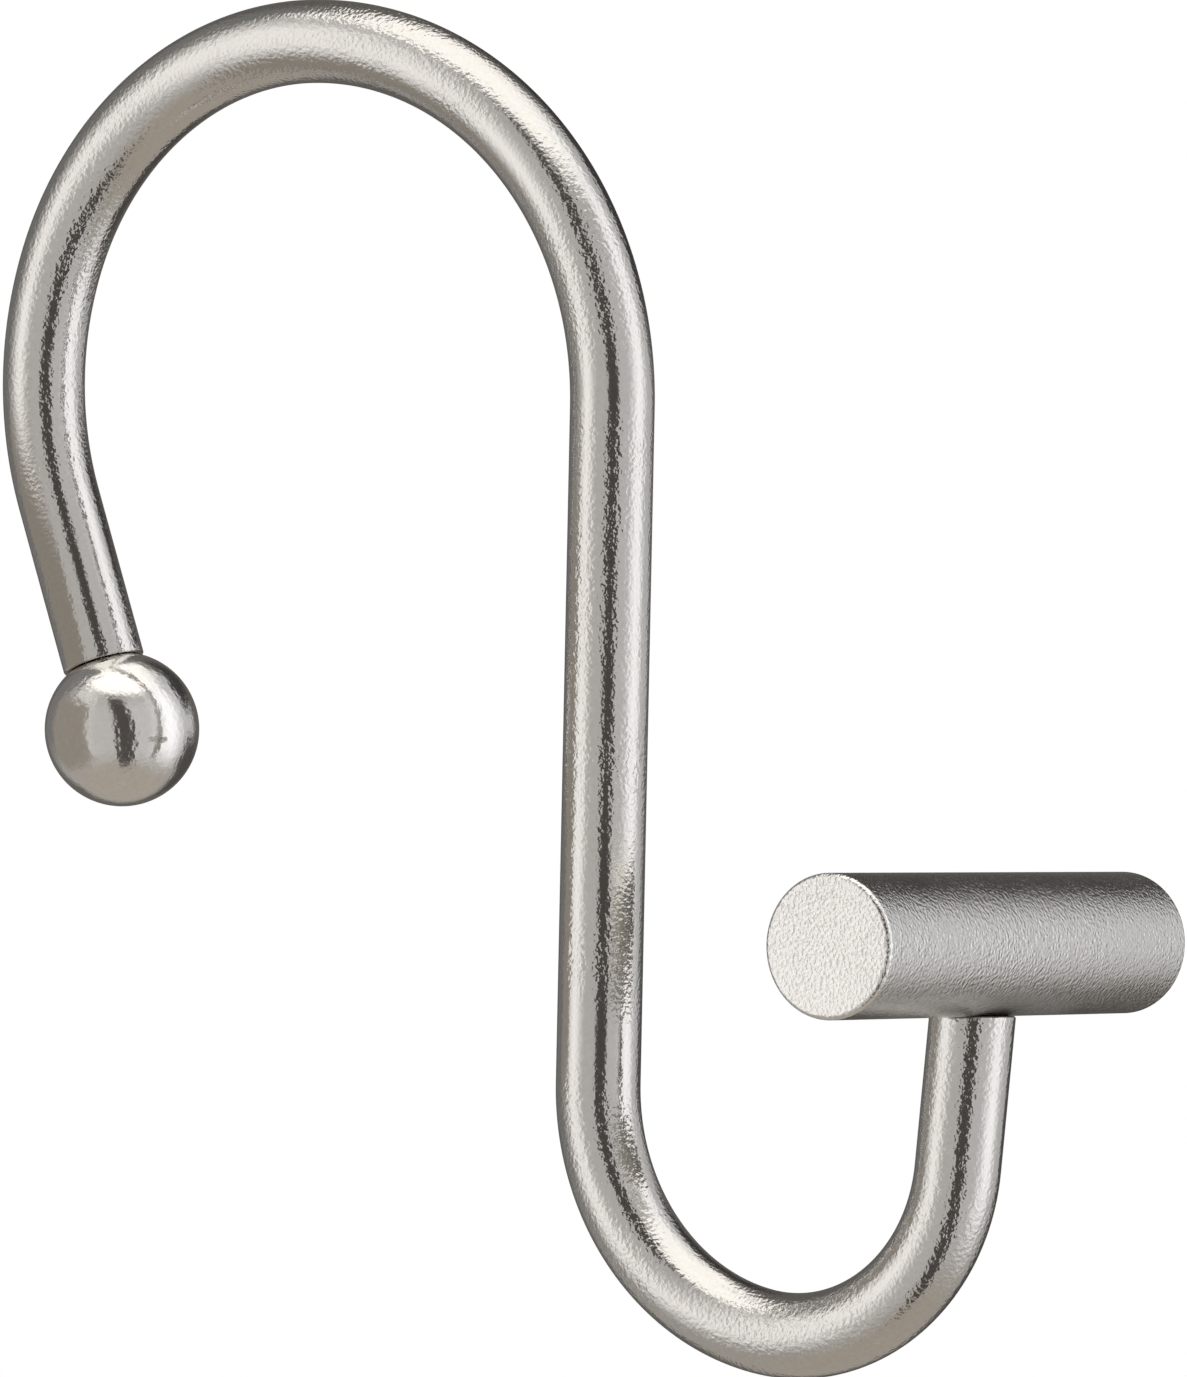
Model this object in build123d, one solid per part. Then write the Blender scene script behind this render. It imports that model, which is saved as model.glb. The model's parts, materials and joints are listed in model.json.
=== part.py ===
from build123d import *
import math
import os

# Shower curtain hook: an S of round wire, with a ball on its open tip and a bar across its short leg.
# The hook lies in the XZ plane, +Z is up, and +X points from the rod loop towards the cross bar.
# The origin is on the axis of the curtain rod that the hook hangs on, and that axis is Y.
# Lengths are in millimetres and angles in degrees. A bend's radius is that of the wire's centreline.

# The curtain rod and the wire
rod_diameter = 25.4
wire_diameter = 4.8

# Rod loop: the crown bends over the rod, and wider side bends lead to the tip and to the shank
crown_play = 3.4  # room between the crown's inside and a rod centred in it
side_flare = 2.5  # by how much a side bend's radius is larger than the crown's
crown_turn = 71.0
tip_turn = 39.0
tip_straight = 10.2  # from the tip bend to the shoulder that seats on the ball
back_turn = 90.0  # from level at the loop's top to the upright shank

# Shank
shank_length = 38.2

# Curtain bend: a wide heel below the shank, then a tighter toe that turns up into the short leg
heel_radius = 13.7
heel_turn = 80.0
toe_radius = 10.7
toe_turn = 95.0
leg_length = 12.5  # from the toe bend to the cross bar's axis

# Ball on the tip
ball_diameter = 9.0
ball_seat_height = 4.0  # from the ball's centre to the flat seat of the wire's shoulder

# Cross bar on the leg
bar_diameter = 8.0
bar_length = 32.0
bar_edge_chamfer = 0.2
bar_seat_height = 3.92  # from the bar's axis down to the flat, level seat of the leg's end

# Both ends of the wire are turned down to a spigot. The tip's shoulder is square to the wire, and the
# leg's is level, so that it lies flat under the bar although the leg leans.
spigot_diameter = 2.2
tip_spigot_length = 3.4  # in the ball
leg_spigot_length = 4.6  # in the cross bar, a little beyond its axis
shoulder_chamfer = 0.1  # round the tip's shoulder; the leg's edge stays sharp
nose_chamfer = 0.3

# Holes for the spigots
fit_clearance = 0.02  # all round a spigot in its hole
hole_spare_depth = 0.2  # between a spigot's nose and the hole's full depth
drill_point_angle = 118.0

rod_radius = rod_diameter / 2
wire_radius = wire_diameter / 2
ball_radius = ball_diameter / 2
bar_radius = bar_diameter / 2
spigot_radius = spigot_diameter / 2
leg_lean = 90 + back_turn - heel_turn - toe_turn  # how far the leg stands from upright
crown_radius = rod_radius + crown_play + wire_radius
side_radius = crown_radius + side_flare
from_below = (Align.CENTER, Align.CENTER, Align.MIN)
from_above = (Align.CENTER, Align.CENTER, Align.MAX)


def bend(before, radius, turn):
    """Arc that goes on from the end of the line before; a positive turn is anticlockwise."""
    return JernArc(before @ 1, before % 1, radius, turn)


def straight(before, length):
    """Straight run that goes on from the end of the line before."""
    return Line(before @ 1, before @ 1 + (before % 1) * length)


def wire_runs():
    """The centreline's straight runs and bends in order, from the ball's seat to the bar's axis.

    Both ways start at the loop's top, where the wire is level and rests on the rod, so the first
    run and the last one both point outwards.
    """
    top = (0, rod_radius + wire_radius)
    crown = JernArc(top, (-1, 0), crown_radius, crown_turn)
    tip_bend = bend(crown, side_radius, tip_turn)
    tip = straight(tip_bend, tip_straight)
    back_bend = JernArc(top, (1, 0), side_radius, -back_turn)
    shank = straight(back_bend, shank_length)
    heel = bend(shank, heel_radius, heel_turn)
    toe = bend(heel, toe_radius, toe_turn)
    leg = straight(toe, leg_length)
    drawn = (tip, tip_bend, crown, back_bend, shank, heel, toe, leg)
    return [Plane.XZ * run for run in drawn]


def end_plane(run):
    """Plane across the far end of a run, facing the way that the run goes."""
    return Plane(origin=run @ 1, z_dir=run % 1)


def level_plane(leg):
    """Level plane of the bar's seat, facing up, with its origin on the leg's centreline."""
    below_axis = bar_seat_height / math.cos(math.radians(leg_lean))
    return Plane(origin=leg @ 1 - (leg % 1) * below_axis, z_dir=(0, 0, 1))


def facing_back(plane, ahead):
    """Plane that looks back at the given one, from the given distance ahead of it."""
    return Plane(origin=plane.origin + plane.z_dir * ahead, z_dir=-plane.z_dir)


def spigot(end, length):
    """The spigot that stands on a flat end, with its nose broken all round."""
    pin = Cylinder(spigot_radius, length, align=from_below)
    return end * chamfer(pin.faces().sort_by(Axis.Z)[-1].edges(), nose_chamfer)


def seat_cut(seat_height, spot_radius, spigot_length):
    """What is cut along +Z for a shoulder: all above its round flat seat, and the spigot's hole below."""
    radius = spigot_radius + fit_clearance
    depth = spigot_length + hole_spare_depth
    point_depth = radius / math.tan(math.radians(drill_point_angle / 2))
    spot = Cylinder(spot_radius, seat_height, align=from_below)
    bore = Cylinder(radius, depth, align=from_above)
    point = Pos(0, 0, -depth) * Cone(0, radius, point_depth, align=from_above)
    return Pos(0, 0, seat_height) * (spot + bore + point)


def hook_wire(runs):
    """The bent wire with a spigot on each end, its tip's shoulder broken and its leg cut off level."""
    tip_end = end_plane(runs[0])
    leg_end = level_plane(runs[-1])
    body = sweep(tip_end * Circle(wire_radius), path=Wire(runs))
    tip_rim = body.edges().filter_by(GeomType.CIRCLE).sort_by_distance(tip_end.origin)[0]
    body = chamfer(tip_rim, shoulder_chamfer)
    body -= leg_end * Cylinder(wire_diameter, leg_length, align=from_below)
    return body + spigot(tip_end, tip_spigot_length) + spigot(leg_end, leg_spigot_length)


def end_ball(tip):
    """The ball, whose top is cut flat for the wire's shoulder and drilled for its spigot."""
    ball = Sphere(ball_radius) - seat_cut(ball_seat_height, ball_radius, tip_spigot_length)
    return facing_back(end_plane(tip), ball_seat_height) * ball


def cross_bar(leg):
    """The round bar along Y, with a spot face and a blind hole for the leg's end in its underside."""
    along_y = Plane(origin=leg @ 1, z_dir=(0, 1, 0))
    bar = Cylinder(bar_radius, bar_length)
    bar = chamfer(bar.edges().filter_by(GeomType.CIRCLE), bar_edge_chamfer)
    spot_radius = wire_radius / math.cos(math.radians(leg_lean)) + fit_clearance
    seat = seat_cut(bar_seat_height, spot_radius, leg_spigot_length)
    return along_y * bar - facing_back(level_plane(leg), bar_seat_height) * seat


def build():
    """Every piece by its name."""
    runs = wire_runs()
    return {
        "hook_wire": hook_wire(runs),
        "end_ball": end_ball(runs[0]),
        "cross_bar": cross_bar(runs[-1]),
    }


os.makedirs("parts", exist_ok=True)
for name, piece in build().items():
    piece.label = name
    export_step(piece, f"parts/{name}.step")
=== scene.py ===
import json

import bpy
import numpy as np
from mathutils import Matrix, Vector


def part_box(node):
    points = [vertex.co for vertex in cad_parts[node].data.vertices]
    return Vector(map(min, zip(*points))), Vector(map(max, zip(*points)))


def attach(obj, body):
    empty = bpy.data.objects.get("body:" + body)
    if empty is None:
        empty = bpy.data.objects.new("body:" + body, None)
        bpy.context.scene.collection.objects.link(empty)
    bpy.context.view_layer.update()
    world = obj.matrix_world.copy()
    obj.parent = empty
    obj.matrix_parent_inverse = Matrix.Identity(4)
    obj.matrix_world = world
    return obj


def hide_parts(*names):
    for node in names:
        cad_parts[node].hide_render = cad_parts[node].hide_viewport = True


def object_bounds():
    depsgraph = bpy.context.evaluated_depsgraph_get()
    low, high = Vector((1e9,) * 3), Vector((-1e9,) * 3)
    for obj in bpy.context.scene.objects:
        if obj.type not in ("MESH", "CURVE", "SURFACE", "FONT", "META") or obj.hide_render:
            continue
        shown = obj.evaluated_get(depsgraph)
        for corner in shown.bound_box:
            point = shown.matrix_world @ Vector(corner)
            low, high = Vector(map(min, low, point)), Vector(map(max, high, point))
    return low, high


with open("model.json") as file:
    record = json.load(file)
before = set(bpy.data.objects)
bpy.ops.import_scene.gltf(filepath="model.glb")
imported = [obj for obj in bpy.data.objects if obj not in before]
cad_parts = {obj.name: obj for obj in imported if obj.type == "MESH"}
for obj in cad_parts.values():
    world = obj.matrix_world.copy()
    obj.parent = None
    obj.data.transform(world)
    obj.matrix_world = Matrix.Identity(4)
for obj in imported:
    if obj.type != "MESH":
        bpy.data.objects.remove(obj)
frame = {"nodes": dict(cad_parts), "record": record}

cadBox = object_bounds()
mm = 0.001
scene = bpy.context.scene
scene.view_settings.view_transform = "Standard"
record = frame["record"]
mountSizes = {m["name"]: m["dims"] for m in record["mounts"]}
slotColours = {m["slot"]: m["base_color"] for m in record["materials"]}
print("frame loaded:", sorted(frame["nodes"]))


cameraValues = {
    "azimuth": 33.01,                 # degrees; 0 looks along +Y
    "elevation": -0.04,
    "roll": 1.20,
    "distance": 0.631,                # from the aim point, a close portrait distance
    "lens": 291.6,
    "aimBesideCentre": (5.68 * mm, 0, -0.49 * mm),
}


def viewAxes(azimuth, elevation, roll):
    # back runs from the object to the camera, right is level, then both right and up turn by the roll
    a, e, r = np.radians([azimuth, elevation, roll])
    back = Vector((np.sin(a) * np.cos(e), -np.cos(a) * np.cos(e), np.sin(e)))
    right = Vector((0, 0, 1)).cross(back).normalized()
    up = back.cross(right)
    return right * np.cos(r) + up * np.sin(r), up * np.cos(r) - right * np.sin(r), back


def placeCamera(values):
    # camera = aim + distance * back, turned to the view's axes
    right, up, back = viewAxes(values["azimuth"], values["elevation"], values["roll"])
    aim = (cadBox[0] + cadBox[1]) / 2 + Vector(values["aimBesideCentre"])
    camera = bpy.data.objects.new("camera", bpy.data.cameras.new("camera"))
    camera.data.lens = values["lens"]
    camera.data.sensor_width = 36
    turned = Matrix((right, up, back)).transposed().to_4x4()
    camera.matrix_world = Matrix.Translation(aim + back * values["distance"]) @ turned
    scene.collection.objects.link(camera)
    scene.camera = camera


placeCamera(cameraValues)
print("camera placed")


def addMesh(name, points, faces):
    # one mesh object from an array of points and lists of corner numbers, all faces smooth
    mesh = bpy.data.meshes.new(name)
    mesh.from_pydata(points.tolist(), [], faces)
    mesh.update()
    mesh.shade_smooth()
    thing = bpy.data.objects.new(name, mesh)
    scene.collection.objects.link(thing)
    return thing


def fan(pole, rim, turned=False):
    # triangles from a pole to each side of a closed rim, as corner numbers; turned makes them face back
    ahead = np.roll(rim, -1)
    sides = (ahead, rim) if turned else (rim, ahead)
    return np.stack([np.full(len(rim), pole), *sides], axis=-1)


def gridFaces(rows, columns, first=0, wrap=True):
    # corner numbers of the squares between neighbouring rows; wrap joins the last column to the first
    i = np.arange(rows - 1)[:, None]
    j = np.arange(columns if wrap else columns - 1)[None, :]
    k = (j + 1) % columns
    return np.stack([i * columns + j, i * columns + k, (i + 1) * columns + k, (i + 1) * columns + j],
                    axis=-1).reshape(-1, 4) + first


def closedSkin(rings, startPole, endPole):
    # points: the two poles after all rings; faces: squares between rings and a fan round each pole
    rows, columns = rings.shape[:2]
    points = np.vstack([rings.reshape(-1, 3), [startPole, endPole]])
    firstRing = np.arange(columns)
    lastRing = firstRing + (rows - 1) * columns
    startFan = fan(rows * columns, firstRing, turned=True)
    endFan = fan(rows * columns + 1, lastRing)
    return points, gridFaces(rows, columns).tolist() + startFan.tolist() + endFan.tolist()


def stations(corners, spacing):
    # every corner kept, and each stretch between two corners divided evenly at about the spacing
    stretches = [np.linspace(a, b, max(2, int(np.ceil((b - a) / spacing)) + 1))[:-1]
                 for a, b in zip(corners[:-1], corners[1:])]
    return np.concatenate(stretches + [corners[-1:]])


def asPiece(thing, node, finish, sharpest=28):
    # the finished surface stands for its node, rides with it and wears its finish
    thing.data.set_sharp_from_angle(angle=np.radians(sharpest))
    thing.data.materials.append(finish)
    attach(thing, "root")
    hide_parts(node)
    print(node, "dressed:", len(thing.data.polygons), "faces")
    return thing


def nickelFinish(name, slot, look):
    # Nickel plate over a grain like orange peel. Height = broad swells + fine grain times slow patches.
    # Colour runs from the grain's hollows to its crests, and roughness = its middle + its spread by clouds.
    material = bpy.data.materials.new(name)
    material.use_nodes = True
    nodes, links = material.node_tree.nodes, material.node_tree.links
    shader = nodes["Principled BSDF"]
    shader.inputs["Metallic"].default_value = 1.0
    place = nodes.new("ShaderNodeTexCoord")

    def noise(size, detail=1.0, roughness=0.5):
        node = nodes.new("ShaderNodeTexNoise")
        node.inputs["Scale"].default_value = 1 / size
        node.inputs["Detail"].default_value = detail
        node.inputs["Roughness"].default_value = roughness
        links.new(place.outputs["Object"], node.inputs["Vector"])
        return node.outputs["Fac"]

    def ranged(value, low, high):
        # nearly all of a noise lies between 0.3 and 0.7
        node = nodes.new("ShaderNodeMapRange")
        node.inputs["From Min"].default_value = 0.3
        node.inputs["From Max"].default_value = 0.7
        node.inputs["To Min"].default_value = low
        node.inputs["To Max"].default_value = high
        links.new(value, node.inputs["Value"])
        return node.outputs["Result"]

    grain = noise(look["grainSize"], roughness=0.45)
    swell = noise(look["swellSize"])
    cloud = noise(look["cloudSize"], detail=3.0, roughness=0.55)
    patch = noise(look["patchSize"])

    # bump of the grain, which comes and goes in patches, on top of the bump of the swells
    swellBump = nodes.new("ShaderNodeBump")
    swellBump.inputs["Strength"].default_value = 1.0
    swellBump.inputs["Distance"].default_value = look["swellHeight"]
    links.new(swell, swellBump.inputs["Height"])
    grainBump = nodes.new("ShaderNodeBump")
    grainBump.inputs["Distance"].default_value = look["grainHeight"]
    links.new(ranged(patch, *look["grainPatches"]), grainBump.inputs["Strength"])
    links.new(grain, grainBump.inputs["Height"])
    links.new(swellBump.outputs["Normal"], grainBump.inputs["Normal"])
    links.new(grainBump.outputs["Normal"], shader.inputs["Normal"])

    # roughness rises in the clouds
    middle, spread = look["roughness"], look["roughnessSpread"]
    links.new(ranged(cloud, middle - spread, middle + spread), shader.inputs["Roughness"])

    # colour: the plate's own, tinted in the grain's hollows and brightened on its crests; where both gains
    # stand above 1 they also lift the whole plate as painted light, brightening its reflections
    plate = slotColours[slot]
    shade = nodes.new("ShaderNodeMix")
    shade.data_type = "RGBA"
    shade.inputs["A"].default_value = [c * k for c, k in zip(plate, look["hollowTintAndPaintedLight"])] + [1]
    shade.inputs["B"].default_value = [min(1.0, c * look["crestGainAndPaintedLight"]) for c in plate] + [1]
    links.new(ranged(grain, 0.0, 1.0), shade.inputs["Factor"])
    links.new(shade.outputs["Result"], shader.inputs["Base Color"])
    # painted shade under the bar round the joint, darkening the colour and lowering the metallic value
    # there
    if "paintedShade" in look:
        paintShadeUnderBar(material, look["paintedShade"], place, shade, shader)
    return material


def paintShadeUnderBar(material, paintedShade, place, shade, shader):
    # Painted shade on the bar's underside round the joint: a darker, less metallic plate stands in for the
    # shade there. Distance = length of (place - middle of the bar's lowest line) / reach. From the inner to
    # the outer distance the painted shade fades: its tint on the colour, and its share taken from the
    # metallic value.
    nodes, links = material.node_tree.nodes, material.node_tree.links
    low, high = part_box("cross_bar")
    away = nodes.new("ShaderNodeVectorMath")
    away.operation = "SUBTRACT"
    away.inputs[1].default_value = ((low.x + high.x) / 2, paintedShade["along"], low.z)
    links.new(place.outputs["Object"], away.inputs[0])
    share = nodes.new("ShaderNodeVectorMath")
    share.operation = "DIVIDE"
    share.inputs[1].default_value = paintedShade["reach"]
    links.new(away.outputs["Vector"], share.inputs[0])
    length = nodes.new("ShaderNodeVectorMath")
    length.operation = "LENGTH"
    links.new(share.outputs["Vector"], length.inputs[0])
    rising = nodes.new("ShaderNodeMapRange")
    rising.interpolation_type = "SMOOTHSTEP"
    rising.inputs["From Min"].default_value = paintedShade["inner"]
    rising.inputs["From Max"].default_value = paintedShade["outer"]
    links.new(length.outputs["Value"], rising.inputs["Value"])
    tint = nodes.new("ShaderNodeMix")
    tint.data_type = "RGBA"
    tint.blend_type = "MULTIPLY"
    tint.inputs["B"].default_value = (*paintedShade["tint"], 1)
    under = nodes.new("ShaderNodeMath")
    under.operation = "SUBTRACT"
    under.inputs[0].default_value = 1.0
    links.new(rising.outputs["Result"], under.inputs[1])
    links.new(under.outputs["Value"], tint.inputs["Factor"])
    links.new(shade.outputs["Result"], tint.inputs["A"])
    links.new(tint.outputs["Result"], shader.inputs["Base Color"])
    dull = nodes.new("ShaderNodeMapRange")
    dull.inputs["To Min"].default_value = paintedShade["metallic"]
    links.new(rising.outputs["Result"], dull.inputs["Value"])
    links.new(dull.outputs["Result"], shader.inputs["Metallic"])


wireValues = {
    "crownPlay": 3.4 * mm,            # between the crown's inside and a rod centred in it
    "sideFlare": 2.5 * mm,            # how much wider the side bends are than the crown
    "tipStraight": 10.2 * mm,
    "tipTurn": 39, "crownTurn": 71, "backTurn": 90,
    "shank": 38.2 * mm,
    "heelRadius": 13.7 * mm, "heelTurn": 80,
    "toeRadius": 10.7 * mm, "toeTurn": 95,
    "leg": 12.5 * mm,                 # from the toe to the bar's axis
    "legSeat": 3.92 * mm,             # height of the bar's axis over the level end under it
    "spigotRadius": 1.1 * mm, "tipSpigot": 3.4 * mm, "legSpigot": 4.6 * mm,
    "shoulderRound": 0.15 * mm, "nose": 0.3 * mm,
    "spacing": 0.4 * mm, "around": 96, "roundSteps": 7,
}
wireLook = {
    "grainSize": 0.24 * mm, "grainHeight": 0.052 * mm,
    "patchSize": 6.0 * mm, "grainPatches": (0.2, 1.1),
    "swellSize": 1.6 * mm, "swellHeight": 0.010 * mm,
    "cloudSize": 4.0 * mm,
    "roughness": 0.12, "roughnessSpread": 0.02,
    "hollowTintAndPaintedLight": (0.955, 0.95, 0.94), "crestGainAndPaintedLight": 1.02,
}
wireRadius = mountSizes["ring_seat"]["r_mm"] * mm
rodRadius = mountSizes["rod_seat"]["r_mm"] * mm
# the wire is level at the loop's top, goes down the shank, and comes up again short of upright by the lean
legLean = np.radians(90 + wireValues["backTurn"] - wireValues["heelTurn"] - wireValues["toeTurn"])


def wireRuns(values):
    # length and curvature of each run from the shoulder to the leg's end; a left turn is positive
    crownRadius = rodRadius + values["crownPlay"] + wireRadius
    sideRadius = crownRadius + values["sideFlare"]
    legToSeat = values["leg"] - values["legSeat"] / np.cos(legLean)
    bends = [(0, values["tipStraight"]), (-sideRadius, values["tipTurn"]),
             (-crownRadius, values["crownTurn"]), (-sideRadius, values["backTurn"]), (0, values["shank"]),
             (values["heelRadius"], values["heelTurn"]), (values["toeRadius"], values["toeTurn"]),
             (0, legToSeat)]
    lengths = np.array([abs(radius) * np.radians(amount) if radius else amount for radius, amount in bends])
    curvatures = np.array([1 / radius if radius else 0.0 for radius, amount in bends])
    return lengths, curvatures


runLengths, runCurvatures = wireRuns(wireValues)
runEnds = np.cumsum(runLengths)
topAlong = runEnds[2]                 # the loop's top, where the wire is level, ends the crown


def followWire(along):
    # heading = tip heading + curvature summed over the way; each step's chord = step * sinc(half its turn)
    step = np.diff(along)
    run = np.minimum(np.searchsorted(runEnds, (along[1:] + along[:-1]) / 2), len(runEnds) - 1)
    turn = runCurvatures[run] * step
    heading = np.concatenate([[0], np.cumsum(turn)])
    chord = step * np.sinc(turn / 2 / np.pi)
    middle = heading[:-1] + turn / 2
    top = np.searchsorted(along, topAlong)
    heading, middle = heading - heading[top], middle - heading[top]
    x = np.concatenate([[0], np.cumsum(chord * np.cos(middle))])
    z = np.concatenate([[0], np.cumsum(chord * np.sin(middle))])
    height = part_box("hook_wire")[1].z - wireRadius
    return x - x[top], z - z[top] + height, heading


def buildHookWire(values):
    # Circle of radius r(s) carried along the path: point = path + r (cos t * outward + sin t * Y).
    # r steps up from the tip spigot's nose over the square shoulder to the wire. At the leg the rings slide
    # along the wire until they lie level, and the spigot beyond them stands upright.
    end = runEnds[-1]
    spigot, nose, edge = values["spigotRadius"], values["nose"], values["shoulderRound"]
    quarter = np.linspace(0, np.pi / 2, values["roundSteps"])
    rise = edge * (1 - np.cos(quarter))
    body = stations(np.concatenate([[edge], runEnds[:-1], [end - edge]]), values["spacing"])
    along = np.concatenate([[-values["tipSpigot"], nose - values["tipSpigot"], -nose, 0], rise,
                            body[1:-1], end - rise[::-1]])
    shoulder = wireRadius - edge + edge * np.sin(quarter)
    r = np.concatenate([[spigot - nose, spigot, spigot, spigot], shoulder,
                        np.full(len(body) - 2, wireRadius), shoulder[::-1]])
    x, z, heading = followWire(along)
    above = np.array([0, nose, values["legSpigot"] - nose, values["legSpigot"]])
    x, z = np.append(x, np.full(len(above), x[-1])), np.append(z, z[-1] + above)
    heading = np.append(heading, np.full(len(above), np.pi / 2))
    r = np.append(r, [spigot, spigot, spigot, spigot - nose])
    level = np.zeros(len(r))
    level[len(along) - len(quarter):len(along)] = np.tan(legLean)

    t = np.linspace(0, 2 * np.pi, values["around"], endpoint=False)
    outward = r[:, None] * np.cos(t)
    slide = -level[:, None] * outward
    ahead, up = np.cos(heading)[:, None], np.sin(heading)[:, None]
    rings = np.stack([x[:, None] - outward * up + slide * ahead, -r[:, None] * np.sin(t),
                      z[:, None] + outward * ahead + slide * up], axis=-1)
    points, faces = closedSkin(rings, (x[0], 0, z[0]), (x[-1], 0, z[-1]))
    return addMesh("hookWire", points, faces)


hookWire = buildHookWire(wireValues)
asPiece(hookWire, "hook_wire", nickelFinish("wireNickel", "wire_nickel", wireLook))


ballValues = {
    "seatHeight": 4.0 * mm,           # from the centre to the flat under the wire's shoulder
    "holeRadius": 1.12 * mm, "holeDepth": 3.6 * mm,
    "drillPoint": 118,
    "alongArc": 110, "around": 192,
}
ballLook = {
    "grainSize": 0.30 * mm, "grainHeight": 0.034 * mm,
    "patchSize": 4.0 * mm, "grainPatches": (0.25, 1.0),
    "swellSize": 1.8 * mm, "swellHeight": 0.016 * mm,
    "cloudSize": 3.0 * mm,
    "roughness": 0.14, "roughnessSpread": 0.02,
    # hollow and crest gains above 1: painted light that lifts the whole plate, brightening the ball's
    # reflections
    "hollowTintAndPaintedLight": (1.08, 1.08, 1.075), "crestGainAndPaintedLight": 1.15,
}


def buildEndBall(values):
    # Profile (height, radius) turned about the tip's line: drill point, hole wall, flat seat, sphere.
    low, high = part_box("end_ball")
    radius = (high.y - low.y) / 2
    x, z, heading = followWire(np.concatenate([[0], runEnds]))
    axis = np.array([np.cos(heading[0]), 0, np.sin(heading[0])])
    seat, hole = values["seatHeight"], values["holeRadius"]
    centre = np.array([x[0], 0, z[0]]) - seat * axis
    floor = seat - values["holeDepth"]
    point = floor - hole / np.tan(np.radians(values["drillPoint"] / 2))
    flatRadius = np.sqrt(radius ** 2 - seat ** 2)
    polar = np.linspace(np.arctan2(flatRadius, seat), np.pi, values["alongArc"])[:-1]
    height = np.concatenate([[floor, seat, seat], radius * np.cos(polar)])
    r = np.concatenate([[hole, hole, (hole + flatRadius) / 2], radius * np.sin(polar)])
    t = np.linspace(0, 2 * np.pi, values["around"], endpoint=False)
    across = np.cross(axis, (0, 1, 0))
    circle = np.cos(t)[:, None] * across + np.sin(t)[:, None] * np.array([0, 1, 0])
    rings = centre + height[:, None, None] * axis + r[:, None, None] * circle
    points, faces = closedSkin(rings, centre + point * axis, centre - radius * axis)
    return addMesh("endBall", points, faces)


endBall = buildEndBall(ballValues)
asPiece(endBall, "end_ball", nickelFinish("ballNickel", "ball_nickel", ballLook))


barValues = {
    "edgeRound": 0.3 * mm,
    "holeRadius": 1.12 * mm,
    "holePastAxis": 0.88 * mm,        # how far the hole's full width reaches beyond the bar's axis
    "drillPoint": 118,
    "seatRadius": 2.43 * mm, "seatHeight": 3.92 * mm,   # the spot face under the wire's shoulder
    "holeSquare": 0.8 * mm, "seatSquare": 1.75 * mm, "outerSquare": 2.8 * mm,
    "seatWall": 0.01 * mm,
    "spacing": 0.25 * mm, "roundSteps": 15, "faceRings": 14, "wallRings": 6,
}
barLook = {
    "grainSize": 0.20 * mm, "grainHeight": 0.075 * mm,
    "patchSize": 7.0 * mm, "grainPatches": (0.6, 1.0),
    "swellSize": 1.3 * mm, "swellHeight": 0.012 * mm,
    "cloudSize": 4.0 * mm,
    "roughness": 0.18, "roughnessSpread": 0.02,
    # hollow and crest gains above 1: painted light that lifts the whole plate, brightening the bar's
    # reflections
    "hollowTintAndPaintedLight": (1.12, 1.12, 1.115), "crestGainAndPaintedLight": 1.26,
    # painted shade under the bar round the joint, standing in for the shade there: its middle along the
    # bar, its reach along X, Y and Z, the shares of that reach between which it fades, and what it leaves
    # of the colour and of the metallic value
    "paintedShade": {"along": -2.5 * mm, "reach": (9.0 * mm, 12.0 * mm, 2.0 * mm), "inner": 0.3, "outer": 1.0,
                "tint": (0.30, 0.29, 0.26), "metallic": 0.3},
}


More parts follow.
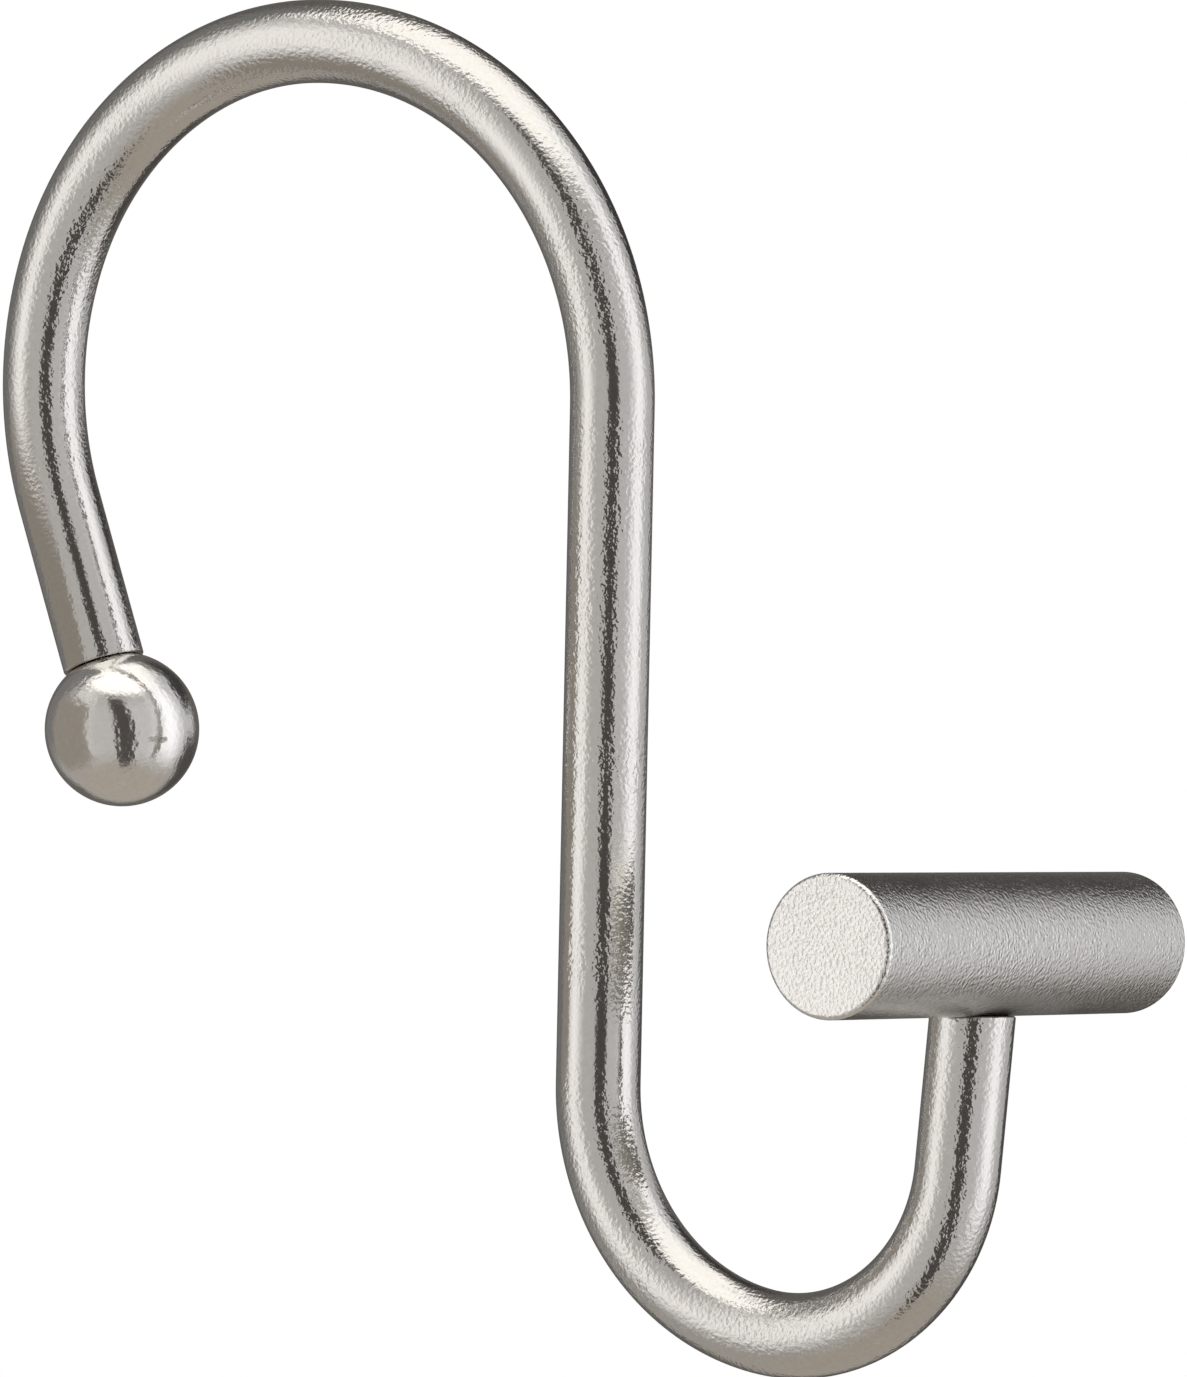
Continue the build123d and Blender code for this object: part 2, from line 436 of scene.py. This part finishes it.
def buildCrossBar(values):
    # Outer skin: point = axis + r (cos a * down + sin a * side) + y * Y.
    # Near the hole, seen from below, the grid's squares slide out on their rays: the hole's square onto
    # its rim, the seat's square onto the seat's circle, and the outer square not at all. Inside the seat's
    # circle the surface is cut off at the seat's height.
    low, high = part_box("cross_bar")
    radius, half = (high.x - low.x) / 2, (high.y - low.y) / 2
    centre = np.array([(low.x + high.x) / 2, 0, (low.z + high.z) / 2])
    down, side = np.array([0, 0, -1]), np.array([-1, 0, 0])
    beside = values["seatHeight"] * np.tan(legLean)      # from below the bar's axis to the hole
    edge, hole, spacing = values["edgeRound"], values["holeRadius"], values["spacing"]
    seat, seatHeight = values["seatRadius"], values["seatHeight"]
    inner, middle, outer = values["holeSquare"], values["seatSquare"], values["outerSquare"]
    tiny = 1e-9
    squares = np.array([inner, middle - values["seatWall"], middle, outer])
    across = np.concatenate([-squares[::-1], squares])

    angles = np.arcsin((across + beside) / radius)
    angle = stations(np.append(angles, angles[0] + 2 * np.pi), spacing / radius)[:-1]
    wall = stations(np.concatenate([[edge - half], across, [half - edge]]), spacing)
    quarter = np.linspace(0, np.pi / 2, values["roundSteps"])
    face = np.linspace(0, 1, values["faceRings"])[1:] * (radius - edge)
    y = np.concatenate([np.full(len(face), -half), -half + edge - edge * np.cos(quarter[:-1]), wall,
                        half - edge + edge * np.sin(quarter[1:]), np.full(len(face), half)])
    r = np.concatenate([face, radius - edge + edge * np.sin(quarter[:-1]), np.full(len(wall), radius),
                        radius - edge + edge * np.cos(quarter[1:]), face[::-1]])
    # the two rims of each end face come twice, so one of each is dropped
    keep = np.concatenate([[True], (np.abs(np.diff(y)) + np.abs(np.diff(r))) > tiny])
    y, r = y[keep], r[keep]

    grid = np.broadcast_to(y[:, None], (len(y), len(angle))).copy()
    turned = np.broadcast_to(angle[None, :], grid.shape).copy()
    sideways = radius * np.sin(turned) - beside
    reach = np.maximum(np.abs(sideways), np.abs(grid))
    near = (turned <= angles[-1] + tiny) & (reach <= outer + tiny) & (reach > inner - tiny)
    ray = np.arctan2(grid, sideways)
    far = np.hypot(sideways, grid) * outer / np.maximum(reach, tiny)
    onSeat = hole + (seat - hole) * (reach - inner) / (middle - inner)
    beyondSeat = seat + (far - seat) * (reach - middle) / (outer - middle)
    slid = np.where(reach < middle, onSeat, beyondSeat)
    grid[near] = (slid * np.sin(ray))[near]
    turned[near] = np.arcsin(np.clip((slid * np.cos(ray) + beside) / radius, -1, 1))[near]
    lowered = r[:, None] * np.cos(turned)
    cut = near & (reach < middle - tiny)
    lowered[cut] = np.minimum(lowered[cut], seatHeight)
    skin = (centre + lowered[..., None] * down + (r[:, None] * np.sin(turned))[..., None] * side
            + grid[..., None] * np.array([0, 1, 0]))

    rows, columns = skin.shape[:2]
    faces = gridFaces(rows, columns)
    faceAlong = np.repeat((y[1:] + y[:-1]) / 2, columns)
    faceAngle = np.tile((angle + np.append(angle[1:], angles[0] + 2 * np.pi)) / 2, rows - 1)
    faceBeside = radius * np.sin(faceAngle) - beside
    opening = (np.abs(faceAlong) < inner) & (np.abs(faceBeside) < inner) & (faceAngle < angles[-1])
    faces = faces[~opening]

    # rim of the hole, in order round it
    number = np.arange(rows * columns).reshape(rows, columns)
    square = np.maximum(np.abs(radius * np.sin(angle) - beside)[None, :], np.abs(y)[:, None])
    onRim = (np.abs(square - inner) < tiny) & (angle <= angles[-1])[None, :]
    rim = number[onRim]
    rimPoints = skin[onRim]
    inOrder = np.argsort(np.arctan2((rimPoints - centre) @ side - beside, rimPoints[:, 1]))
    rim, rimPoints = rim[inOrder], rimPoints[inOrder]
    depth = (rimPoints - centre) @ down
    wallShare = np.linspace(0, 1, values["wallRings"])[1:, None]
    drop = wallShare * (depth + values["holePastAxis"])[None, :]
    wallRings = rimPoints[None] - drop[..., None] * down
    point = hole / np.tan(np.radians(values["drillPoint"] / 2))
    tip = centre + beside * side - (values["holePastAxis"] + point) * down

    # skin with its opening, a fan on each end face, the hole's mouth and wall, and the drill point
    poles = np.array([centre - [0, half, 0], centre + [0, half, 0], tip])
    points = np.vstack([skin.reshape(-1, 3), wallRings.reshape(-1, 3), poles])
    firstWall, firstPole = rows * columns, len(points) - len(poles)
    nearRing, mouthRing = np.arange(columns), firstWall + np.arange(len(rim))
    farRing = nearRing + (rows - 1) * columns
    deepRing = mouthRing + (len(wallRings) - 1) * len(rim)
    mouth = np.stack([rim, np.roll(rim, -1), np.roll(mouthRing, -1), mouthRing], axis=-1)
    parts = [faces, fan(firstPole, nearRing, turned=True), fan(firstPole + 1, farRing), mouth,
             gridFaces(len(wallRings), len(rim), first=firstWall), fan(firstPole + 2, deepRing)]
    return addMesh("crossBar", points, [corners for part in parts for corners in part.tolist()])


crossBar = buildCrossBar(barValues)
asPiece(crossBar, "cross_bar", nickelFinish("barNickel", "bar_nickel", barLook), sharpest=9)


studioCards = {
    # azimuth and elevation as seen from the hook in the camera's frame, distance, level, colour, and the
    # share of the width and of the height over which the card fades out at each side
    "room": {"azimuth": (-180, 180), "elevation": (-66, 70), "distance": 3.2, "level": 0.42,
             "colour": (1.0, 0.95, 0.90), "soft": (0, 0.08), "closed": True},
    "topLight": {"azimuth": (-180, 180), "elevation": (46, 89), "distance": 3.0, "level": 1.42,
                 "colour": (1.0, 0.975, 0.93), "soft": (0, 0.30), "capped": True},
    "topShade": {"azimuth": (-204, -92), "elevation": (36, 72), "distance": 2.9, "level": 0.22,
                 "colour": (1.0, 0.98, 0.96), "soft": (0.25, 0.30)},
    "table": {"azimuth": (-180, 180), "elevation": (-89, -30), "distance": 2.9, "level": 0.44,
              "colour": (1.0, 0.91, 0.79), "soft": (0, 0.55), "capped": True},
    "leftWall": {"azimuth": (-66, 4), "elevation": (-62, 62), "distance": 2.6, "level": 0.57,
                 "colour": (1.0, 0.97, 0.94), "soft": (0.10, 0.28)},
    "leftLight": {"azimuth": (-104, -41), "elevation": (-40, 60), "distance": 2.5, "level": 1.20,
                  "colour": (1.0, 0.975, 0.955), "soft": (0.50, 0.42)},
    "leftGlow": {"azimuth": (-108, -50), "elevation": (-46, 60), "distance": 2.55, "level": 0.55,
                 "colour": (1.0, 0.98, 0.96), "soft": (0.35, 0.38)},
    "rightWall": {"azimuth": (6, 100), "elevation": (-62, 62), "distance": 2.4, "level": 0.62,
                  "colour": (1.0, 0.985, 0.99), "soft": (0.05, 0.28)},
    "rightRear": {"azimuth": (84, 160), "elevation": (-48, 84), "distance": 2.35, "level": 0.60,
                  "colour": (0.98, 0.985, 1.0), "soft": (0.50, 0.40)},
    "rightSoftbox": {"azimuth": (42, 118), "elevation": (-52, 84), "distance": 2.3, "level": 1.30,
                     "colour": (0.985, 0.985, 1.0), "soft": (0.50, 0.33)},
    "rear": {"azimuth": (133, 222), "elevation": (-46, 64), "distance": 2.1, "level": 0.14,
             "colour": (1.0, 0.94, 0.87), "soft": (0.14, 0.14)},
    "leftShade": {"azimuth": (-158, -104), "elevation": (-36, 64), "distance": 2.0, "level": 0.20,
                  "colour": (1.0, 0.985, 0.97), "soft": (0.32, 0.35)},
    "cameraGap": {"azimuth": (-11, 22), "elevation": (-64, 56), "distance": 0.5, "level": 0.085,
                  "colour": (1.0, 0.88, 0.82), "soft": (0.14, 0.12), "lean": -30, "leanFrom": 0.44},
}
# upright flat cards, blank behind: the places of both ends, right and back of a piece's centre, and
# their height from it
nearCards = {
    "greyBesideBall": {"piece": "end_ball", "ends": ((-30 * mm, -17 * mm), (-20 * mm, 20 * mm)),
                       "height": (-27 * mm, 22 * mm), "level": 0.32, "colour": (1.0, 0.91, 0.80),
                       "soft": (0.10, 0.20)},
    "flagBehindBar": {"piece": "cross_bar", "ends": ((130 * mm, -110 * mm), (-30 * mm, -175 * mm)),
                      "height": (32 * mm, 170 * mm), "level": 0.052, "colour": (1.0, 0.95, 0.91),
                      "soft": (0.22, 0.30)},
    "cornerBehindBar": {"piece": "cross_bar", "ends": ((130 * mm, -105 * mm), (-30 * mm, -180 * mm)),
                        "height": (-110 * mm, 16 * mm), "level": 0.08, "colour": (1.0, 0.94, 0.88),
                        "soft": (0.22, 0.30)},
}
cardSteps, nearCardSteps = 65, 33     # grid points along each side of a card
worldLevels = {"backdrop": 1.0, "daylight": 0.55}
floorValues = {
    "drop": 50 * mm,                  # below the hook
    "radius": 0.75, "fade": 0.35, "colour": (0.86, 0.86, 0.85), "roughness": 0.9,
    "rings": 24, "around": 96,
}
lampValues = {"position": (-0.3, -0.4, 1.0), "size": 0.8, "power": 4.0}


def lightOnly(material, colour, level, blankBehind):
    # plain light of one colour, fading out where the cover attribute falls to 0
    material.use_nodes = True
    nodes, links = material.node_tree.nodes, material.node_tree.links
    nodes.clear()
    glow = nodes.new("ShaderNodeEmission")
    glow.inputs["Color"].default_value = (*colour, 1)
    glow.inputs["Strength"].default_value = level
    clear = nodes.new("ShaderNodeBsdfTransparent")
    cover = nodes.new("ShaderNodeAttribute")
    cover.attribute_name = "cover"
    shown = cover.outputs["Fac"]
    if blankBehind:
        side = nodes.new("ShaderNodeNewGeometry")
        front = nodes.new("ShaderNodeMath")
        front.operation = "SUBTRACT"
        front.use_clamp = True
        links.new(shown, front.inputs[0])
        links.new(side.outputs["Backfacing"], front.inputs[1])
        shown = front.outputs["Value"]
    material.cycles.emission_sampling = "NONE"     # only reflections look for a card
    mix = nodes.new("ShaderNodeMixShader")
    out = nodes.new("ShaderNodeOutputMaterial")
    links.new(shown, mix.inputs["Fac"])
    links.new(clear.outputs["BSDF"], mix.inputs[1])
    links.new(glow.outputs["Emission"], mix.inputs[2])
    links.new(mix.outputs["Shader"], out.inputs["Surface"])


def cardGrid(steps):
    # shares from 0 to 1 across and up a card
    return np.meshgrid(np.linspace(0, 1, steps), np.linspace(0, 1, steps), indexing="ij")


def smoothCover(sideways, upright=1):
    # 1 inside, falling to 0 at the edge as 3 t^2 - 2 t^3
    inward = np.clip(np.minimum(sideways, upright), 0, 1)
    return inward ** 2 * (3 - 2 * inward)


def storeCover(thing, cover):
    # one value at each point, which the material reads
    thing.data.attributes.new("cover", "FLOAT", "POINT").data.foreach_set("value", cover.ravel())


def showCard(name, card, points, cover, blankBehind=False):
    # only reflections see a card; it is no part of the picture, of the floor's light or of the shadow
    thing = addMesh(name, points.reshape(-1, 3), gridFaces(*cover.shape, wrap=False).tolist())
    storeCover(thing, cover)
    material = bpy.data.materials.new(name)
    lightOnly(material, card["colour"], card["level"], blankBehind)
    thing.data.materials.append(material)
    thing.visible_camera = thing.visible_diffuse = thing.visible_shadow = False
    thing.visible_transmission = False


def standNear(name, card, axes):
    # Upright flat card: point = the piece's centre + mix of the two ends by u + height by v.
    right, up, back = [np.array(v) for v in axes]
    low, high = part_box(card["piece"])
    centre = np.array((low + high) / 2)
    u, v = cardGrid(nearCardSteps)
    first, last = [a * right + b * back for a, b in card["ends"]]
    bottom, top = card["height"]
    height = bottom + v * (top - bottom)
    points = centre + (1 - u)[..., None] * first + u[..., None] * last + height[..., None] * up
    cover = smoothCover(np.minimum(u, 1 - u) / card["soft"][0], np.minimum(v, 1 - v) / card["soft"][1])
    showCard(name, card, points, cover, blankBehind=True)


def hangCard(name, card, centre, axes):
    # Patch of a sphere round the object: point = centre + distance (sin a cos e * right + sin e * up
    # + cos a cos e * back), where a leaning card's azimuth also turns by lean times a square above
    # leanFrom. Its cover falls smoothly to 0 over the soft share of its width and height.
    right, up, back = [np.array(v) for v in axes]
    u, v = cardGrid(cardSteps)
    elevation = np.radians(card["elevation"][0] + v * (card["elevation"][1] - card["elevation"][0]))
    start = card.get("leanFrom", 0)
    lean = card.get("lean", 0) * np.clip((v - start) / (1 - start), 0, 1) ** 2
    azimuth = np.radians(card["azimuth"][0] + u * (card["azimuth"][1] - card["azimuth"][0]) + lean)
    points = (centre + card["distance"] * ((np.sin(azimuth) * np.cos(elevation))[..., None] * right
                                           + np.sin(elevation)[..., None] * up
                                           + (np.cos(azimuth) * np.cos(elevation))[..., None] * back))
    upright = np.minimum(v, 1 - v) / card["soft"][1]
    if card.get("capped"):
        # faded only at the edge that lies nearer the horizon
        upright = (v if card["elevation"][1] > 0 else 1 - v) / card["soft"][1]
    goesAllRound = card.get("closed") or card.get("capped")
    sideways = 1 if goesAllRound else np.minimum(u, 1 - u) / card["soft"][0]
    showCard(name, card, points, smoothCover(sideways, upright))


def paintWorld(levels):
    # white where the camera and the metal look past the studio, a plain level for what lights the floor
    world = bpy.data.worlds.new("studio")
    scene.world = world
    world.use_nodes = True
    nodes, links = world.node_tree.nodes, world.node_tree.links
    background = nodes["Background"]
    background.inputs["Color"].default_value = (1, 1, 1, 1)
    rays = nodes.new("ShaderNodeLightPath")
    seen = rays.outputs["Is Camera Ray"]
    for kind in ("Is Glossy Ray", "Is Transmission Ray"):
        larger = nodes.new("ShaderNodeMath")
        larger.operation = "MAXIMUM"
        links.new(seen, larger.inputs[0])
        links.new(rays.outputs[kind], larger.inputs[1])
        seen = larger.outputs["Value"]
    strength = nodes.new("ShaderNodeMapRange")
    strength.inputs["To Min"].default_value = levels["daylight"]
    strength.inputs["To Max"].default_value = levels["backdrop"]
    links.new(seen, strength.inputs["Value"])
    links.new(strength.outputs["Result"], background.inputs["Strength"])


def layFloor(values):
    # disc of rings whose cover fades to nothing before its rim: point = (R cos t, R sin t) under the hook
    low, high = cadBox
    rings, around = values["rings"], values["around"]
    share, t = np.meshgrid(np.linspace(0, 1, rings + 1)[1:],
                           np.linspace(0, 2 * np.pi, around, endpoint=False), indexing="ij")
    middle = (low + high) / 2
    height = low.z - values["drop"]
    disc = np.stack([middle.x + values["radius"] * share * np.cos(t),
                     middle.y + values["radius"] * share * np.sin(t), np.full(t.shape, height)], axis=-1)
    points = np.vstack([disc.reshape(-1, 3), [[middle.x, middle.y, height]]])
    squares = gridFaces(rings, around)[:, ::-1]
    floor = addMesh("floor", points, squares.tolist() + fan(len(points) - 1, np.arange(around)).tolist())
    storeCover(floor, smoothCover((1 - np.append(share.ravel(), 0)) / values["fade"]))
    material = bpy.data.materials.new("paleFloor")
    material.use_nodes = True
    nodes, links = material.node_tree.nodes, material.node_tree.links
    paint = nodes["Principled BSDF"]
    paint.inputs["Base Color"].default_value = (*values["colour"], 1)
    paint.inputs["Roughness"].default_value = values["roughness"]
    fade = nodes.new("ShaderNodeAttribute")
    fade.attribute_name = "cover"
    links.new(fade.outputs["Fac"], paint.inputs["Alpha"])
    floor.data.materials.append(material)
    floor.visible_glossy = False       # the metal sees the table card there


def hangLamp(name, values):
    # soft square lamp that aims at the hook and lights the floor
    lamp = bpy.data.objects.new(name, bpy.data.lights.new(name, "AREA"))
    lamp.data.shape = "SQUARE"
    lamp.data.size = values["size"]
    lamp.data.energy = values["power"]
    position = Vector(values["position"])
    lamp.location = (cadBox[0] + cadBox[1]) / 2 + position
    lamp.rotation_euler = position.to_track_quat("Z", "Y").to_euler()
    lamp.visible_glossy = False
    scene.collection.objects.link(lamp)


axes = viewAxes(cameraValues["azimuth"], cameraValues["elevation"], cameraValues["roll"])
cardCentre = np.array((cadBox[0] + cadBox[1]) / 2)
for cardName, cardValues in studioCards.items():
    hangCard(cardName, cardValues, cardCentre, axes)
for cardName, cardValues in nearCards.items():
    standNear(cardName, cardValues, axes)
paintWorld(worldLevels)
layFloor(floorValues)
hangLamp("softLampAbove", lampValues)
print("studio lit:", len(studioCards) + len(nearCards), "cards")
